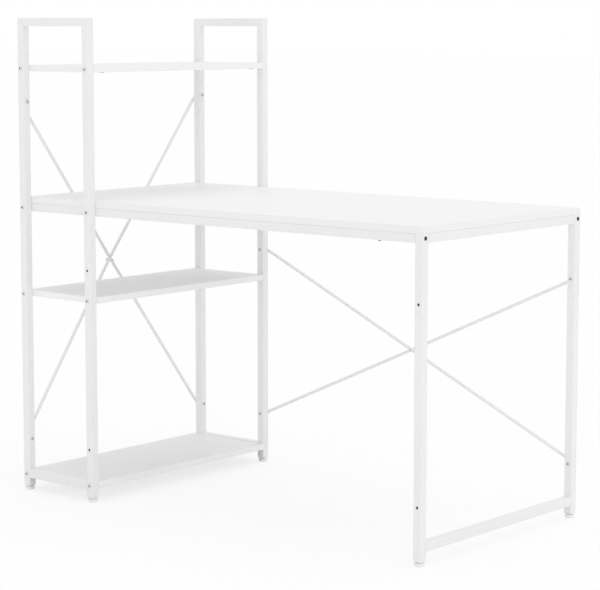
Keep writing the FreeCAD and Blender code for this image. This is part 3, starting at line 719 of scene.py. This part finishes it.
# Barrel nuts just under the shelves, in the dark grey zinc that paints shade onto their ends.
barrel_places = []
for shelf in SHELVES:
    shelf_low, shelf_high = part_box(shelf)
    for post in ("tower_post_front_left", "tower_post_front_right"):
        for y in (shelf_low.y + BARREL_INSET, shelf_high.y - BARREL_INSET):
            barrel_places.append((Vector((middle(post).x, y, shelf_low.z - BARREL_PROUD)), UP))
fastener_row("barrel_nut_set", "shelf_barrel_nuts", barrel_nut_shape("barrel_nut"),
             barrel_places, DARK_GREY_ZINC, 19)


# Rods, with ends pressed flat into eyes. Stations are distances in from an eye's middle.

EYE_STATIONS = (-0.0065, -0.0063, -0.0058, -0.0050, -0.0038, -0.0022, 0.0, 0.0025, 0.0055, 0.0090, 0.0120,
                0.0130, 0.0140, 0.0150, 0.0160, 0.0170, 0.0178, 0.0185, 0.0200, 0.0300)


def eye_section(inward, line):
    """Half width, middle height, half height and squareness of a rod's end, this far in from its eye."""
    rise = min(max((inward - TAB_FLAT) / (TAB_END - TAB_FLAT), 0.0), 1.0)
    rise = rise * rise * (3 - 2 * rise)
    if inward < 0:
        flat_half = math.sqrt(max(EYE_RADIUS ** 2 - inward ** 2, TIP_HALF ** 2))
    else:
        flat_half = EYE_RADIUS - (EYE_RADIUS - NECK_HALF) * min(inward / TAB_TAIL, 1.0)
    half_width = flat_half + (ROD_DIAMETER / 2 - flat_half) * rise
    middle_height = TAB_THICK / 2 + (line - TAB_THICK / 2) * rise
    half_height = TAB_THICK / 2 + (ROD_DIAMETER - TAB_THICK) / 2 * rise
    squareness = EYE_SQUARENESS + (ROD_SQUARENESS - EYE_SQUARENESS) * rise
    return half_width, middle_height, half_height, squareness


def brace_rod(node, first, second, outward, crest):
    """A round rod between two eyes that lie on posts, with its middle line at crest over the first post."""
    drop = -(second - first).dot(outward)
    span = second - first + outward * drop
    half = span.length / 2
    along = span.normalized()
    across = outward.cross(along)
    centre = first + along * half
    stations = []
    for inward in EYE_STATIONS:
        share = (inward - ROD_START) / (half - ROD_START)
        stations.append((inward - half, eye_section(inward, ROD_LIFT + (crest - ROD_LIFT) * share)))
    stations.append((0.0, (ROD_DIAMETER / 2, crest, ROD_DIAMETER / 2, ROD_SQUARENESS)))
    for inward in reversed(EYE_STATIONS):
        share = (inward - ROD_START) / (half - ROD_START)
        wide, height, thick, square = eye_section(inward, ROD_LIFT + (crest + drop - ROD_LIFT) * share)
        stations.append((half - inward, (wide, height - drop, thick, square)))
    rings = []
    for place, (wide, height, thick, square) in stations:
        ring = []
        for angle in RING_ANGLES:
            side = math.copysign(abs(math.cos(angle)) ** (2 / square), math.cos(angle))
            lift = math.copysign(abs(math.sin(angle)) ** (2 / square), math.sin(angle))
            ring.append(centre + along * place + across * (wide * side) + outward * (height + thick * lift))
        rings.append(ring)
    rod = skin(node + "_rod", rings)
    rod.data.materials.append(ROD_PAINT)
    bpy.context.scene.collection.objects.link(rod)
    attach(rod, "frame")
    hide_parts(node)


def eye_places(near, far, rod, outward):
    """Eye centres on the outer faces of two posts: near low, near high, far low and far high."""
    places = []
    for post in (near, far):
        low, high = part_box(post)
        for level in eye_levels(rod):
            if outward.x < 0:
                places.append(Vector((low.x, middle(post).y, level)))
            else:
                places.append(Vector((middle(post).x, high.y, level)))
    return places


for pair, near, far, outward, crest in (
    ("side_brace", "tower_post_front_left", "tower_post_back_left", SIDE_OUT, ROD_LIFT + SIDE_ROD_BOW),
    ("back_brace", "tower_post_back_right", "leg_post_back", BACK_OUT, ROD_LIFT - TUBE / 2),
):
    near_low, near_high, far_low, far_high = eye_places(near, far, pair + "_falling", outward)
    brace_rod(pair + "_falling", near_high, far_low, outward, crest)
    brace_rod(pair + "_rising", near_low, far_high, outward, crest + ROD_DIAMETER + ROD_GAP)


# Feet

for foot_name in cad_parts:
    if not foot_name.startswith("foot_") or foot_name == "foot_inserts":
        continue
    foot = foot_shape(foot_name + "_levelling")
    spot = middle(foot_name)
    foot.data.transform(Matrix.Translation((spot.x, spot.y, 0)))
    foot.data.materials.append(FOOT_PLASTIC)
    bpy.context.scene.collection.objects.link(foot)
    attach(foot, foot_name)
    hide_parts(foot_name)


# Welds in the inner corners of the tube frames

def weld_lines():
    """Pairs of end points of the fillet welds."""
    half = TUBE / 2 - WELD_INSET
    lines = []
    for rung in ("tower_low_rung_front", "tower_low_rung_back"):
        low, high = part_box(rung)
        y = middle(rung).y
        for x in (low.x, high.x):
            for z in (low.z, high.z):
                lines.append((Vector((x, y - half, z)), Vector((x, y + half, z))))
    for rail in ("tower_top_rail_front", "tower_top_rail_back"):
        low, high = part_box(rail)
        y = middle(rail).y
        for x in (low.x + TUBE, high.x - TUBE):
            lines.append((Vector((x, y - half, low.z)), Vector((x, y + half, low.z))))
    for rail in ("leg_low_rail", "leg_top_rail"):
        low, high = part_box(rail)
        x = middle(rail).x
        for y in (low.y, high.y):
            for z in (low.z, high.z) if rail == "leg_low_rail" else (low.z,):
                lines.append((Vector((x - half, y, z)), Vector((x + half, y, z))))
    return lines


weld_mesh = bpy.data.meshes.new("weld_paths")
weld_ends = [point for line in weld_lines() for point in line]
weld_mesh.from_pydata(weld_ends, [(2 * k, 2 * k + 1) for k in range(len(weld_ends) // 2)], [])
welds = grow("corner_welds", weld_mesh, WELD_BEADS, {"Finish": FRAME_PAINT})
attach(welds, "frame")


# Floor, light and camera. Distances are in metres, angles in degrees, the focal length in pixels.

FLOOR_REACH = 60.0
FLOOR_SHINE = 0.76
FILL_FROM = Vector((0.75, -0.62, 0.25)).normalized()
FILL_STRENGTH = 0.47
ROOM_STRENGTH = 0.735
LAMP_FROM = Vector((0.05, 0.2, 1.0))
LAMP_STRENGTH = 0.57
LAMP_SPREAD = 60
PHOTO_WIDTH = 600
FOCAL_PIXELS = 2100.0
SENSOR_WIDTH = 36.0
CAMERA_PLACE = (3.1941, -3.7676, 1.1353)
CAMERA_DIP = 6.869
CAMERA_TURN = 40.053
CAMERA_SHIFT = -0.03
CAMERA_REACH = 200.0


def white_floor():
    """A pale floor that runs far past the picture and keeps the desk's soft shadow."""
    mesh = bpy.data.meshes.new("studio_floor")
    reach = FLOOR_REACH
    corners = [(-reach, -reach, 0), (reach, -reach, 0), (reach, reach, 0), (-reach, reach, 0)]
    mesh.from_pydata(corners, [], [(0, 1, 2, 3)])
    floor = bpy.data.objects.new("studio_floor", mesh)
    bpy.context.scene.collection.objects.link(floor)
    finish, tree, shader, place = new_finish("studio_floor")
    drift = spread(tree, cloudy(tree, place, 1.5), 0.0, 1.0)
    pale = between(tree, drift, (0.965, 0.965, 0.965), (0.97, 0.97, 0.97))
    tree.links.new(pale, shader.inputs["Base Color"])
    shader.inputs["Roughness"].default_value = 0.9
    shader.inputs["Specular IOR Level"].default_value = 0.0
    shine = tree.nodes.new("ShaderNodeEmission")
    shine.inputs["Color"].default_value = (1.0, 1.0, 1.0, 1.0)
    shine.inputs["Strength"].default_value = 1.0
    seen = tree.nodes.new("ShaderNodeLightPath").outputs["Is Camera Ray"]
    share = sums(tree, "MULTIPLY", seen, FLOOR_SHINE)
    blend = tree.nodes.new("ShaderNodeMixShader")
    tree.links.new(share, blend.inputs["Fac"])
    tree.links.new(shader.outputs["BSDF"], blend.inputs[1])
    tree.links.new(shine.outputs["Emission"], blend.inputs[2])
    tree.links.new(blend.outputs["Shader"], tree.nodes["Material Output"].inputs["Surface"])
    floor.data.materials.append(finish)


def studio_light():
    """A white room, brighter from the front right, and one broad lamp overhead."""
    world = bpy.data.worlds.new("studio_room")
    bpy.context.scene.world = world
    world.use_nodes = True
    tree = world.node_tree
    rays = tree.nodes.new("ShaderNodeLightPath")
    seen = sums(tree, "MAXIMUM", rays.outputs["Is Camera Ray"], rays.outputs["Is Glossy Ray"])
    seen = sums(tree, "MAXIMUM", seen, rays.outputs["Is Transmission Ray"])
    way = tree.nodes.new("ShaderNodeTexCoord").outputs["Generated"]
    facing = tree.nodes.new("ShaderNodeVectorMath")
    facing.operation = "DOT_PRODUCT"
    facing.inputs[1].default_value = FILL_FROM
    tree.links.new(way, facing.inputs[0])
    front = sums(tree, "POWER", sums(tree, "MAXIMUM", facing.outputs["Value"], 0.0), 2.0)
    glow = sums(tree, "ADD", sums(tree, "MULTIPLY", front, FILL_STRENGTH), ROOM_STRENGTH)
    strength = tree.nodes.new("ShaderNodeMapRange")
    strength.inputs["To Max"].default_value = 1.0
    tree.links.new(glow, strength.inputs["To Min"])
    tree.links.new(seen, strength.inputs["Value"])
    background = tree.nodes["Background"]
    background.inputs["Color"].default_value = (1.0, 1.0, 1.0, 1.0)
    tree.links.new(strength.outputs["Result"], background.inputs["Strength"])

    lamp = bpy.data.lights.new("broad_lamp", "SUN")
    lamp.energy = LAMP_STRENGTH
    lamp.angle = math.radians(LAMP_SPREAD)
    holder = bpy.data.objects.new("broad_lamp", lamp)
    holder.rotation_euler = LAMP_FROM.to_track_quat("Z", "Y").to_euler()
    bpy.context.scene.collection.objects.link(holder)


def photo_camera():
    """The photograph's viewpoint."""
    camera = bpy.data.cameras.new("photo_camera")
    camera.sensor_width = SENSOR_WIDTH
    camera.lens = FOCAL_PIXELS / PHOTO_WIDTH * SENSOR_WIDTH
    camera.shift_y = CAMERA_SHIFT
    camera.clip_end = CAMERA_REACH
    holder = bpy.data.objects.new("photo_camera", camera)
    holder.location = CAMERA_PLACE
    holder.rotation_euler = (math.radians(90 - CAMERA_DIP), 0.0, math.radians(CAMERA_TURN))
    bpy.context.scene.collection.objects.link(holder)
    bpy.context.scene.camera = holder


white_floor()
studio_light()
photo_camera()
bpy.context.scene.view_settings.view_transform = "Standard"
